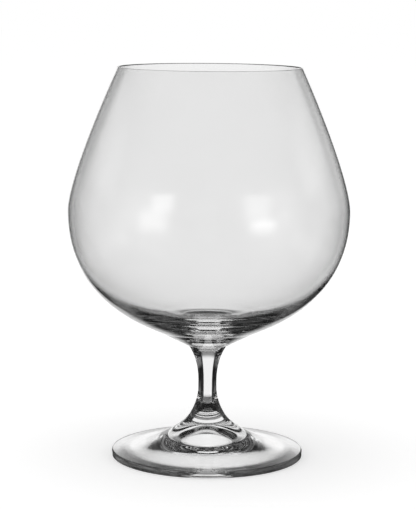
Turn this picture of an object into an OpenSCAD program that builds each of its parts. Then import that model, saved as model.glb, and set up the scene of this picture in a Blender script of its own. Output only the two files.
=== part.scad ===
// Brandy snifter: a wide, thin blown bowl on a short drawn stem and a broad round foot.
// The three pieces of clear glass are welded end to end while hot, on two flat round seams.
// Each is a solid of revolution about Z. The origin is the middle of the face it stands on.

/* [Bowl] */
// Height of the bowl, from its seam with the stem to the top of the rim
bowl_height = 110.5; // [95:0.5:125]
// Outer diameter across the rim
rim_d = 72.7; // [64:0.1:80]
// Lean of the wall at the rim, in degrees from upright
rim_lean = 25; // [18:1:32]
// Length of wall below the rim that keeps close to that lean
rim_run = 12; // [6:0.5:18]
// Outer diameter of the belly, the widest place
belly_d = 111.5; // [100:0.5:120]
// Height of the belly above the seam
belly_rise = 54; // [46:0.5:62]
// Length of wall above the belly that keeps close to upright
belly_run_up = 12; // [6:0.5:18]
// Length of wall below the belly that keeps close to upright
belly_run_down = 35; // [25:0.5:40]
// Outer diameter where the straight underside starts to turn up
shoulder_d = 39; // [30:0.5:48]
// Slope of the straight underside, in degrees from level
shoulder_slope = 27; // [20:1:33]
// Length of wall beyond the shoulder that keeps close to that slope
shoulder_run = 7; // [4:0.5:12]

/* [Bowl wall] */
// Thickness of the fire-polished rim
rim_wall = 0.7; // [0.5:0.05:1.6]
// Thickness of the wall at the belly
belly_wall = 0.7; // [0.5:0.05:1.6]
// Length of the inner wall below the belly that keeps close to upright
inner_run_down = 36.5; // [25:0.5:40]
// Thickness of the wall at the shoulder
shoulder_wall = 4.5; // [3:0.1:5]
// Slope of the inner wall there, in degrees from level
inner_slope = 12.5; // [8:0.5:18]
// Length of the inner wall beyond that place that keeps close to its slope
inner_run = 7.4; // [4:0.1:12]
// Length of the inner wall below that place that keeps close to its slope
floor_run_out = 1; // [0.5:0.1:3]
// Diameter of the shallow round well that the plunger leaves in the middle of the floor
well_d = 20.8; // [17:0.1:23]
// Thickness of the glass at the well's edge, above the seam with the stem
well_edge_thickness = 7.8; // [7:0.1:9]
// Slope of the floor outside that edge, in degrees from level
lip_slope = 7; // [2:1:15]
// Length of the floor outside that edge that keeps close to its slope
lip_run = 4.8; // [1:0.1:5]
// Slope of the well's side at its edge, in degrees from level
well_slope = 84; // [60:1:88]
// Depth that the well's side keeps close to that slope
well_run = 0.4; // [0.2:0.1:0.9]
// Thickness of the glass in the middle of the well
floor_thickness = 6.8; // [5:0.1:6.9]
// Distance from the middle that the well's floor stays close to level
floor_run = 7.4; // [4:0.1:9]

/* [Stem] */
// Length of the stem, from seam to seam
stem_length = 30.5; // [24:0.5:60]
// Diameter of the seam between bowl and stem
neck_d = 15.2; // [12:0.1:19]
// Slope of the stem's side just below that seam, in degrees from level
neck_slope = 56; // [45:1:70]
// Length of the stem's side that keeps close to the neck's slope
neck_run = 8; // [4:0.5:9]
// Diameter of the waist, the thinnest place
waist_d = 7.3; // [6:0.1:10]
// Height of the waist above the seam with the foot
waist_rise = 13.5; // [11:0.5:16]
// Length above the waist that keeps close to upright
waist_run_up = 3.2; // [1:0.1:6]
// Length below the waist that keeps close to upright
waist_run_down = 5.3; // [2:0.1:8]
// Diameter of the seam between stem and foot
heel_d = 18.5; // [15:0.1:22]
// Slope of the glass on both sides of that seam, in degrees from level
heel_slope = 41; // [35:1:50]
// Length of the stem's side above that seam that keeps close to its slope
heel_run = 3.5; // [1:0.1:6]

/* [Foot] */
// Diameter of the foot
foot_d = 76.3; // [66:0.1:86]
// Height of the foot, from the face it stands on to its seam with the stem
foot_height = 14; // [11:0.5:17]
// Thickness of the foot at its edge
edge_thickness = 2.8; // [2.2:0.1:4]
// Radius of the roundings of that edge
edge_round = 0.7; // [0.4:0.1:1.1]
// Slope of the foot's top next to its edge, in degrees from level
brim_slope = 6; // [2:1:9]
// Length of the foot's top that keeps close to that slope
brim_run = 18; // [10:0.5:22]
// Length of the foot's top below the seam that keeps close to the seam's slope
crown_run = 1.5; // [1:0.1:6]
// Width of the flat ring that the foot stands on
rest_ring_w = 4.5; // [1.5:0.1:7]
// Length of the hollow's slope inside that ring that stays close to level
ring_run = 5; // [2:0.1:8]
// Diameter of the dimple that the pressing tool leaves in the hollow, under the stem
dimple_d = 28.9; // [20:0.1:34]
// Height of the dimple's edge above the face that the foot stands on
dimple_edge_z = 3.2; // [1.5:0.1:4]
// Slope of the glass at that edge, in degrees from level
dimple_slope = 5.6; // [2:0.2:10]
// Length of the hollow's slope on both sides of that edge that keeps close to it
dimple_edge_run = 5.1; // [2:0.1:7]
// Height of the middle of the dimple above the face that the foot stands on
dimple_z = 9.4; // [6:0.1:11]
// Distance from the middle that the dimple stays close to level
dimple_run = 4.8; // [2:0.1:8]

/* [Hidden] */

// Clear glass with its faint grey
glass = [0.86, 0.88, 0.88];

// Straight steps in each curve of an outline
curve_steps = 18;
// Straight steps in each rounded edge
round_steps = 8;
$fn = 96;

// The seams stand on each other from the floor up
foot_seam_z = foot_height;
bowl_seam_z = foot_seam_z + stem_length;

// A vector of this length at this angle above the radial direction
function polar(length, angle) = length * [cos(angle), sin(angle)];

// Points of a smooth curve that leaves start towards out and comes to finish from in
function bend(start, out, in, finish) = [
    for (step = [0 : curve_steps])
        let (t = step / curve_steps, s = 1 - t)
            s * s * s * start + 3 * s * s * t * out + 3 * s * t * t * in + t * t * t * finish
];

// Points of an arc round a centre
function arc(centre, radius, first, last) = [
    for (step = [0 : round_steps])
        centre + polar(radius, first + (last - first) * step / round_steps)
];

// The same points in the other order
function reversed(points) = [for (i = [len(points) - 1 : -1 : 0]) points[i]];

// Paths that each start where the last one ended, as one list without doubled points
function joined(paths) = concat(
    [paths[0][0]],
    [for (path = paths) each [for (i = [1 : len(path) - 1]) path[i]]]
);

// Bowl, measured up from its seam: the same places on the outside and on the inside
lip_centre = [(rim_d - rim_wall) / 2, bowl_height - rim_wall / 2];
rim_out = lip_centre + polar(rim_wall / 2, rim_lean);
rim_in = lip_centre - polar(rim_wall / 2, rim_lean);
belly_out = [belly_d / 2, belly_rise];
belly_in = belly_out - [belly_wall, 0];
shoulder_w = (shoulder_d - neck_d) / 2;
shoulder_out = [shoulder_d / 2, shoulder_w * tan(shoulder_slope)];
shoulder_in = shoulder_out + polar(shoulder_wall, 90 + shoulder_slope);
well_edge = [well_d / 2, well_edge_thickness];

// The bowl's side: it leaves the shoulder by one step, and comes up to the belly by the other
function bowl_side(shoulder, leaving, belly, rising, rim) = joined([
    bend(shoulder, shoulder + leaving, belly - rising, belly),
    bend(
        belly,
        belly + [0, belly_run_up],
        rim - polar(rim_run, 90 + rim_lean),
        rim
    )
]);

module bowl() {
    out_leaving = polar(shoulder_run, shoulder_slope);
    in_leaving = polar(inner_run, inner_slope);
    outline = joined([
        [[0, 0], [neck_d / 2, 0], shoulder_out],
        bowl_side(shoulder_out, out_leaving, belly_out, [0, belly_run_down], rim_out),
        arc(lip_centre, rim_wall / 2, rim_lean, rim_lean + 180),
        reversed(bowl_side(shoulder_in, in_leaving, belly_in, [0, inner_run_down], rim_in)),
        bend(
            shoulder_in,
            shoulder_in - polar(floor_run_out, inner_slope),
            well_edge + polar(lip_run, lip_slope),
            well_edge
        ),
        bend(
            well_edge,
            well_edge - polar(well_run, well_slope),
            [floor_run, floor_thickness],
            [0, floor_thickness]
        )
    ]);
    color(glass)
        translate([0, 0, bowl_seam_z])
            rotate_extrude()
                polygon(outline);
}

// Stem, measured up from the seam with the foot
module stem() {
    heel = [heel_d / 2, 0];
    waist = [waist_d / 2, waist_rise];
    neck = [neck_d / 2, stem_length];
    outline = joined([
        [[0, 0], heel],
        bend(
            heel,
            heel + polar(heel_run, 180 - heel_slope),
            waist - [0, waist_run_down],
            waist
        ),
        bend(
            waist,
            waist + [0, waist_run_up],
            neck - polar(neck_run, neck_slope),
            neck
        ),
        [neck, [0, stem_length]]
    ]);
    color(glass)
        translate([0, 0, foot_seam_z])
            rotate_extrude()
                polygon(outline);
}

// Foot, measured up from the face that it stands on
module foot() {
    ring_out = foot_d / 2 - edge_round;
    ring_in = ring_out - rest_ring_w;
    dimple_edge = [dimple_d / 2, dimple_edge_z];
    edge_step = polar(dimple_edge_run, -dimple_slope);
    low_edge = [ring_out, edge_round];
    high_edge = [ring_out, edge_thickness - edge_round];
    brim = high_edge + polar(edge_round, 90 - brim_slope);
    crown = [heel_d / 2, foot_height];
    outline = joined([
        bend([0, dimple_z], [dimple_run, dimple_z], dimple_edge - edge_step, dimple_edge),
        bend(dimple_edge, dimple_edge + edge_step, [ring_in - ring_run, 0], [ring_in, 0]),
        [[ring_in, 0], [ring_out, 0]],
        arc(low_edge, edge_round, -90, 0),
        [low_edge + [edge_round, 0], high_edge + [edge_round, 0]],
        arc(high_edge, edge_round, 0, 90 - brim_slope),
        bend(
            brim,
            brim + polar(brim_run, 180 - brim_slope),
            crown + polar(crown_run, -heel_slope),
            crown
        ),
        [crown, [0, foot_height]]
    ]);
    color(glass)
        rotate_extrude()
            polygon(outline);
}

bowl();
stem();
foot();
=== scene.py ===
import bpy
from math import cos, pi, radians, sin, tan
from mathutils import Matrix, Vector


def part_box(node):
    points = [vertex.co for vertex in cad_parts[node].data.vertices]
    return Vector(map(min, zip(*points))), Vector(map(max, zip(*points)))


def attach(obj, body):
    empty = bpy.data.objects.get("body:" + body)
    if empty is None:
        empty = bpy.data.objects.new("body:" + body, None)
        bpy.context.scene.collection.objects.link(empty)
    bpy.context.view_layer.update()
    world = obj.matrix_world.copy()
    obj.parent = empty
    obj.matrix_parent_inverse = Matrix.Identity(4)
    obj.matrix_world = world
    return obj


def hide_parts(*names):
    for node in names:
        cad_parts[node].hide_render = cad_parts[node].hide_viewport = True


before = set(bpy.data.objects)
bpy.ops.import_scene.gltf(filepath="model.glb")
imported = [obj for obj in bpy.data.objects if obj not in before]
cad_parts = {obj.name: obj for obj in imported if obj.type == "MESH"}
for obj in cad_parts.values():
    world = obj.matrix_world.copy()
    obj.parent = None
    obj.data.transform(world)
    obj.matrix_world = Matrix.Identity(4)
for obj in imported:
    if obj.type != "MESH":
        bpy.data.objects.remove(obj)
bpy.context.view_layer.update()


# FOOT. The broad round foot is pressed from a gather of clear glass, with a dimple from the
# tool under the stem, and drawn up to the weld with it. It is hollow underneath, so that it
# stands on a flat ring near its edge, and years of tables have dulled that ring a little.

_, foot_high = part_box("foot")
foot_radius = foot_high.x
foot_weld = foot_high.z
heel_radius = 0.00925
heel_slope = radians(41)
edge_height = 0.0028
edge_rounding = 0.0007
brim_slope = radians(6)
ring_width = 0.0045
dimple_height = 0.0094
dimple_radius = 0.01445
dimple_edge_height = 0.0032
dimple_slope = radians(5.6)

# How far each curve of the outline keeps close to its slope, here and in the sections below
dimple_run = 0.0048
dimple_edge_run = 0.0051
ring_run = 0.005
brim_run = 0.018
crown_run = 0.0015


def polar(length, angle):
    """The step of this length at this angle above the radial direction."""
    return Vector((length * cos(angle), length * sin(angle)))


def straight(start, end):
    """A stroke along a straight line, as its two ends with two handles between them."""
    return [start, start.lerp(end, 1 / 3), start.lerp(end, 2 / 3), end]


def rounding(centre, radius, first, last):
    """A stroke along an arc, whose handles are as long as a circle needs."""
    reach = polar(radius * 4 / 3 * tan((last - first) / 4), 0)
    turned = [Matrix.Rotation(angle + pi / 2, 2) @ reach for angle in (first, last)]
    start, end = centre + polar(radius, first), centre + polar(radius, last)
    return [start, start + turned[0], end - turned[1], end]


steps_in_stroke = 32
steps_round = 240


def turn_glass(name, strokes, weld_heights):
    """Draws the outline as one Bezier curve and spins it round Z into a closed solid of glass."""
    bpy.ops.object.select_all(action="DESELECT")
    bpy.ops.curve.primitive_bezier_curve_add(location=(0, 0, 0))
    curve = bpy.context.object
    curve.name = name
    spline = curve.data.splines[0]
    spline.resolution_u = steps_in_stroke
    spline.bezier_points.add(len(strokes) - 1)
    corners = [stroke[0] for stroke in strokes] + [strokes[-1][3]]
    leaving = [stroke[1] for stroke in strokes] + [strokes[-1][3]]
    coming = [strokes[0][0]] + [stroke[2] for stroke in strokes]
    for point, corner, left, right in zip(spline.bezier_points, corners, coming, leaving):
        point.handle_left_type = point.handle_right_type = "FREE"
        point.co = (corner.x, 0, corner.y)
        point.handle_left = (left.x, 0, left.y)
        point.handle_right = (right.x, 0, right.y)
    bpy.ops.object.convert(target="MESH")
    bpy.ops.object.mode_set(mode="EDIT")
    bpy.ops.mesh.select_all(action="SELECT")
    bpy.ops.mesh.spin(steps=steps_round, angle=2 * pi, center=(0, 0, 0), axis=(0, 0, 1))
    bpy.ops.mesh.select_all(action="SELECT")
    bpy.ops.mesh.remove_doubles(threshold=0.000001)
    bpy.ops.mesh.normals_make_consistent(inside=False)
    bpy.ops.object.mode_set(mode="OBJECT")
    bpy.ops.object.shade_smooth_by_angle(angle=radians(20))
    piece = bpy.context.object
    piece.data.materials.append(clear_glass)
    piece.data.materials.append(weld)
    for face in piece.data.polygons:
        on_weld = any(abs(face.center.z - height) < 0.00001 for height in weld_heights)
        face.material_index = 1 if on_weld and abs(face.normal.z) > 0.999 else 0
    return piece


class Shade:
    """A shader socket that can be used in sums, each of which adds its Math node."""

    def __init__(self, socket):
        self.socket = socket

    def node(self, kind, settings=None, output=0, **inputs):
        """Adds any other node: its settings first, then the values or links of its sockets."""
        node = self.socket.id_data.nodes.new(kind)
        for name, setting in (settings or {}).items():
            setattr(node, name, setting)
        for name, value in inputs.items():
            socket = node.inputs[int(name[1:]) if name[1:].isdigit() else name.replace("_", " ")]
            if isinstance(value, Shade):
                self.socket.id_data.links.new(value.socket, socket)
            else:
                socket.default_value = value
        return Shade(node.outputs[output])

    def sum_with(self, operation, first, second):
        return self.node("ShaderNodeMath", {"operation": operation}, i0=first, i1=second)

    def __add__(self, other):
        return self.sum_with("ADD", self, other)

    def __sub__(self, other):
        return self.sum_with("SUBTRACT", self, other)

    def __rsub__(self, other):
        return self.sum_with("SUBTRACT", other, self)

    def __mul__(self, other):
        return self.sum_with("MULTIPLY", self, other)

    __radd__ = __add__
    __rmul__ = __mul__


def new_material(name, shader):
    """A material with one shader on its output, and the Object coordinates to vary it by."""
    material = bpy.data.materials.new(name)
    material.use_nodes = True
    nodes = material.node_tree.nodes
    nodes.clear()
    output = nodes.new("ShaderNodeOutputMaterial")
    surface = nodes.new(shader)
    material.node_tree.links.new(surface.outputs[0], output.inputs["Surface"])
    coordinates = nodes.new("ShaderNodeTexCoord")
    return material, surface, Shade(coordinates.outputs["Object"])


def past(value, limit, softness):
    """0 before the limit and 1 after it, with a soft step between."""
    return value.node(
        "ShaderNodeMapRange",
        {"interpolation_type": "SMOOTHSTEP"},
        Value=value,
        From_Min=limit - softness,
        From_Max=limit + softness,
    )


def noise(place, stretch, scale, detail):
    """Cloudy noise, whose spots are divided by the stretch along each axis."""
    stretched = place.node("ShaderNodeVectorMath", {"operation": "MULTIPLY"}, i0=place, i1=stretch)
    return place.node("ShaderNodeTexNoise", Vector=stretched, Scale=scale, Detail=detail)


clear_glass, glass_shader, place = new_material("clear_glass", "ShaderNodeBsdfPrincipled")
glass_shader.inputs["Transmission Weight"].default_value = 1
glass_shader.inputs["IOR"].default_value = 1.52

# The melt varies very little in tint. Its skin sags in faint rings while it is turned, and is
# never quite even, so that the glass softens what it shows by a trace.
skin_sag = 0.00001
skin_dullness = 0.045
wear_dullness = 0.2

melt = noise(place, (1, 1, 2), 45, 2)
tint = melt.node(
    "ShaderNodeMix",
    {"data_type": "RGBA"},
    output=2,
    Factor=melt,
    i6=(0.965, 0.965, 0.965, 1),
    i7=(0.985, 0.985, 0.985, 1),
)
skin = melt.node("ShaderNodeBump", Height=noise(place, (1, 1, 3), 30, 1), Distance=skin_sag)
height = place.node("ShaderNodeSeparateXYZ", output=2, Vector=place)
worn = (1 - past(height, 0.0002, 0.0001)) * noise(place, (1, 1, 1), 900, 4)
dullness = worn * wear_dullness + skin_dullness
links = clear_glass.node_tree.links
links.new(tint.socket, glass_shader.inputs["Base Color"])
links.new(dullness.socket, glass_shader.inputs["Roughness"])
links.new(skin.socket, glass_shader.inputs["Normal"])

weld, _, _ = new_material("weld", "ShaderNodeBsdfTransparent")

ring_outside = foot_radius - edge_rounding
ring_inside = ring_outside - ring_width
dimple_edge = Vector((dimple_radius, dimple_edge_height))
low_corner = Vector((ring_outside, edge_rounding))
high_corner = Vector((ring_outside, edge_height - edge_rounding))
brim = high_corner + polar(edge_rounding, pi / 2 - brim_slope)
crown = Vector((heel_radius, foot_weld))
foot = turn_glass(
    "foot_glass",
    [
        [
            Vector((0, dimple_height)),
            Vector((dimple_run, dimple_height)),
            dimple_edge + polar(dimple_edge_run, pi - dimple_slope),
            dimple_edge,
        ],
        [
            dimple_edge,
            dimple_edge + polar(dimple_edge_run, -dimple_slope),
            Vector((ring_inside - ring_run, 0)),
            Vector((ring_inside, 0)),
        ],
        straight(Vector((ring_inside, 0)), Vector((ring_outside, 0))),
        rounding(low_corner, edge_rounding, -pi / 2, 0),
        straight(
            low_corner + polar(edge_rounding, 0),
            high_corner + polar(edge_rounding, 0),
        ),
        rounding(high_corner, edge_rounding, 0, pi / 2 - brim_slope),
        [
            brim,
            brim + polar(brim_run, pi - brim_slope),
            crown + polar(crown_run, -heel_slope),
            crown,
        ],
        straight(crown, Vector((0, foot_weld))),
    ],
    [foot_weld],
)
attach(foot, "root")
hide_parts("foot")


# STEM. A short solid stem, drawn out of the same hot glass by hand between the bowl and the
# foot, and thinnest a little below its middle. It is welded to both on flat seams.

stem_low, stem_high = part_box("stem")
waist_radius = 0.00365
waist_height = 0.0275
neck_radius = 0.0076
neck_slope = radians(56)
heel_run = 0.0035
waist_run_down = Vector((0, 0.0053))
waist_run_up = Vector((0, 0.0032))
neck_run = 0.008

heel = Vector((heel_radius, stem_low.z))
waist = Vector((waist_radius, waist_height))
neck = Vector((neck_radius, stem_high.z))
stem = turn_glass(
    "stem_glass",
    [
        straight(Vector((0, stem_low.z)), heel),
        [heel, heel + polar(heel_run, pi - heel_slope), waist - waist_run_down, waist],
        [waist, waist + waist_run_up, neck - polar(neck_run, neck_slope), neck],
        straight(neck, Vector((0, stem_high.z))),
    ],
    [stem_low.z, stem_high.z],
)
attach(stem, "root")
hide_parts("stem")


# BOWL. The bowl is mould-blown and turned while it cools, so its wall is thin at the belly and
# grows to a thick floor over the stem, where the plunger leaves a round well. The rim is cracked
# off and fire-polished round.

bowl_low, bowl_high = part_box("bowl")
rim_radius = 0.03635
rim_wall = 0.0007
rim_lean = radians(25)
belly_height = bowl_low.z + 0.054
belly_wall = 0.0007
shoulder_radius = 0.0195
shoulder_slope = radians(27)
shoulder_wall = 0.0045
inner_slope = radians(12.5)
lip_slope = radians(7)
well_radius = 0.0104
well_edge_height = bowl_low.z + 0.0078
well_slope = radians(84)
floor_height = bowl_low.z + 0.0068
rim_run = 0.012
belly_run_up = Vector((0, 0.012))
belly_run_down = Vector((0, 0.035))
shoulder_run = 0.007
inner_run_down = Vector((0, 0.0365))
inner_run = 0.0074
floor_run_out = 0.001
lip_run = 0.0048
well_run = 0.0004
floor_run = Vector((0.0074, 0))

lip = Vector((rim_radius - rim_wall / 2, bowl_high.z - rim_wall / 2))
rim_outside = lip + polar(rim_wall / 2, rim_lean)
rim_inside = lip - polar(rim_wall / 2, rim_lean)
belly_outside = Vector((bowl_high.x, belly_height))
belly_inside = belly_outside - Vector((belly_wall, 0))
seam = Vector((neck_radius, bowl_low.z))
shoulder_rise = (shoulder_radius - neck_radius) * tan(shoulder_slope)
shoulder_outside = seam + Vector((shoulder_radius - neck_radius, shoulder_rise))
shoulder_inside = shoulder_outside + polar(shoulder_wall, pi / 2 + shoulder_slope)
well_edge = Vector((well_radius, well_edge_height))
floor_middle = Vector((0, floor_height))
bowl = turn_glass(
    "bowl_glass",
    [
        straight(Vector((0, bowl_low.z)), seam),
        straight(seam, shoulder_outside),
        [
            shoulder_outside,
            shoulder_outside + polar(shoulder_run, shoulder_slope),
            belly_outside - belly_run_down,
            belly_outside,
        ],
        [
            belly_outside,
            belly_outside + belly_run_up,
            rim_outside - polar(rim_run, pi / 2 + rim_lean),
            rim_outside,
        ],
        rounding(lip, rim_wall / 2, rim_lean, rim_lean + pi / 2),
        rounding(lip, rim_wall / 2, rim_lean + pi / 2, rim_lean + pi),
        [
            rim_inside,
            rim_inside - polar(rim_run, pi / 2 + rim_lean),
            belly_inside + belly_run_up,
            belly_inside,
        ],
        [
            belly_inside,
            belly_inside - inner_run_down,
            shoulder_inside + polar(inner_run, inner_slope),
            shoulder_inside,
        ],
        [
            shoulder_inside,
            shoulder_inside - polar(floor_run_out, inner_slope),
            well_edge + polar(lip_run, lip_slope),
            well_edge,
        ],
        [
            well_edge,
            well_edge - polar(well_run, well_slope),
            floor_middle + floor_run,
            floor_middle,
        ],
    ],
    [bowl_low.z],
)
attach(bowl, "root")
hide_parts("bowl")


# TABLE. A plain pale table top, wide enough to run out of every view. Rays that have gone
# through the glass don't see it, so that only the light tent shows in the glass.

bpy.ops.mesh.primitive_plane_add(size=12, location=(0, 0, 0))
table = bpy.context.object
table.name = "table_top"
pale_laminate, laminate_shader, place = new_material("pale_laminate", "ShaderNodeBsdfPrincipled")
laminate_shader.inputs["Roughness"].default_value = 0.9
laminate_shader.inputs["Specular IOR Level"].default_value = 0
laminate_shader.inputs["Base Color"].default_value = (0.8, 0.8, 0.8, 1)
laminate_shader.inputs["Emission Color"].default_value = (1, 1, 1, 1)
laminate_shader.inputs["Emission Strength"].default_value = 0.44
table.data.materials.append(pale_laminate)
table.visible_glossy = table.visible_transmission = False


# CAMERA. It stands a little above the rim and looks down on the glass at the photograph's
# angle, through a long lens, and leans by half a degree as the photograph does.

looking_down = 0.145
leaning = radians(0.5)

bpy.ops.object.camera_add(location=(-0.0002, -0.731287, 0.187833))
camera = bpy.context.object
pitch = Matrix.Rotation(pi / 2 - looking_down, 4, "X")
lean = Matrix.Rotation(leaning, 4, "Z")
camera.rotation_euler = (pitch @ lean).to_euler()
camera.data.sensor_fit = "AUTO"
camera.data.sensor_width = 36
camera.data.lens = 131.97
camera.data.clip_start = 0.01
camera.data.clip_end = 100
bpy.context.scene.camera = camera
bpy.context.view_layer.update()


# LIGHT TENT. Clear glass is photographed in a dark tent with one white window behind it, which
# draws its dark lines. Two soft lamps stand in the front, and the cloth round them glows. The
# tent turns with the camera, so that all views have the same light, and only the glass shows it.

window_left = -21.8
window_right = 16.8
window_bottom = -33
window_top = 15
window_glow = 0.965
cloth_glow = 0.012
tent_radius = 0.75
tent_middle = (0, 0, 0.08)

bpy.ops.mesh.primitive_uv_sphere_add(
    segments=96, ring_count=48, radius=tent_radius, location=tent_middle
)
tent = bpy.context.object
tent.name = "light_tent"
tent.rotation_euler = camera.matrix_world.inverted().to_euler()
turntable = tent.constraints.new("COPY_ROTATION")
turntable.target = camera
turntable.mix_mode = "BEFORE"
tent_cloth, cloth_shader, place = new_material("tent_cloth", "ShaderNodeBsdfPrincipled")
way = place.node("ShaderNodeVectorMath", {"operation": "NORMALIZE"}, i0=place)
x, y, z = (way.node("ShaderNodeSeparateXYZ", output=axis, Vector=way) for axis in range(3))
turn = place.node("ShaderNodeMath", {"operation": "ARCTAN2"}, i0=x, i1=y) * (180 / pi)
rise = place.node("ShaderNodeMath", {"operation": "ARCSINE"}, i0=z) * (180 / pi)


def between(angle, low, high, softness):
    """1 between the two limits, with a soft step at each."""
    return past(angle, low, softness) * (1 - past(angle, high, softness))


def lit(left, right, bottom, top, softness, strength):
    """The light of one part of the cloth, between two turns and two rises in degrees.

    A turn of 0 lies straight behind the glass, and one of 180 at the camera.
    """
    across = between(turn, left, right, softness)
    return across * between(rise, bottom, top, softness) * strength


window = between(turn, window_left, window_right, 1.5) * between(rise, window_bottom, window_top, 6)
blind = lit(window_left, window_right, window_top, 55, 5, 0.28)
lamps = lit(-148, -125, -8, 15, 6, 1.3) + lit(128, 148, -8, 7, 6, 2)
front_cloth = lit(-150, -100, -20, 18, 13, 0.36) + lit(108, 150, -20, 18, 13, 0.28)
side_cloth = lit(-75, -28, 1, 16, 4.5, 0.1) + lit(23, 75, 1, 16, 4.5, 0.18)
high_cloth = lit(-95, -52, 14, 27, 5, 0.4) + lit(52, 95, 14, 27, 5, 0.45)
low_cloth = lit(-72, -36, -32, -17, 4, 0.12) + lit(36, 72, -32, -17, 4, 0.12)
cloth = front_cloth + side_cloth + high_cloth + low_cloth
brightness = window * window_glow + blind + lamps + cloth + cloth_glow
glow = place.node("ShaderNodeCombineColor", Red=brightness, Green=brightness, Blue=brightness)
tent_cloth.node_tree.links.new(glow.socket, cloth_shader.inputs["Emission Color"])
cloth_shader.inputs["Emission Strength"].default_value = 1
cloth_shader.inputs["Base Color"].default_value = (0, 0, 0, 1)
cloth_shader.inputs["Specular IOR Level"].default_value = 0
tent_cloth.cycles.emission_sampling = "NONE"
tent.data.materials.append(tent_cloth)
tent.visible_camera = tent.visible_diffuse = tent.visible_shadow = False


# LAMP AND BACKDROP. One broad soft lamp hangs over the table. The backdrop is the world: white
# where the camera sees it, and a little less bright where it lights the table.

bpy.ops.object.light_add(type="AREA", location=(-0.3, -0.2, 1.6))
overhead = bpy.context.object
overhead.name = "overhead_lamp"
overhead.data.energy = 4
overhead.data.size = 1.6
overhead.visible_glossy = overhead.visible_transmission = False

backdrop = bpy.data.worlds.new("backdrop")
bpy.context.scene.world = backdrop
backdrop.use_nodes = True
background = backdrop.node_tree.nodes["Background"]
background.inputs["Color"].default_value = (1, 1, 1, 1)
light_path = backdrop.node_tree.nodes.new("ShaderNodeLightPath")
strength = Shade(light_path.outputs["Is Camera Ray"]) * 0.3 + 0.7
backdrop.node_tree.links.new(strength.socket, background.inputs["Strength"])

# Light is led round inside the thick floor and the foot many times before it leaves the glass.
bounces = 40
cycles = bpy.context.scene.cycles
cycles.max_bounces = cycles.transmission_bounces = cycles.glossy_bounces = bounces
cycles.transparent_max_bounces = bounces
bpy.context.scene.view_settings.view_transform = "Standard"
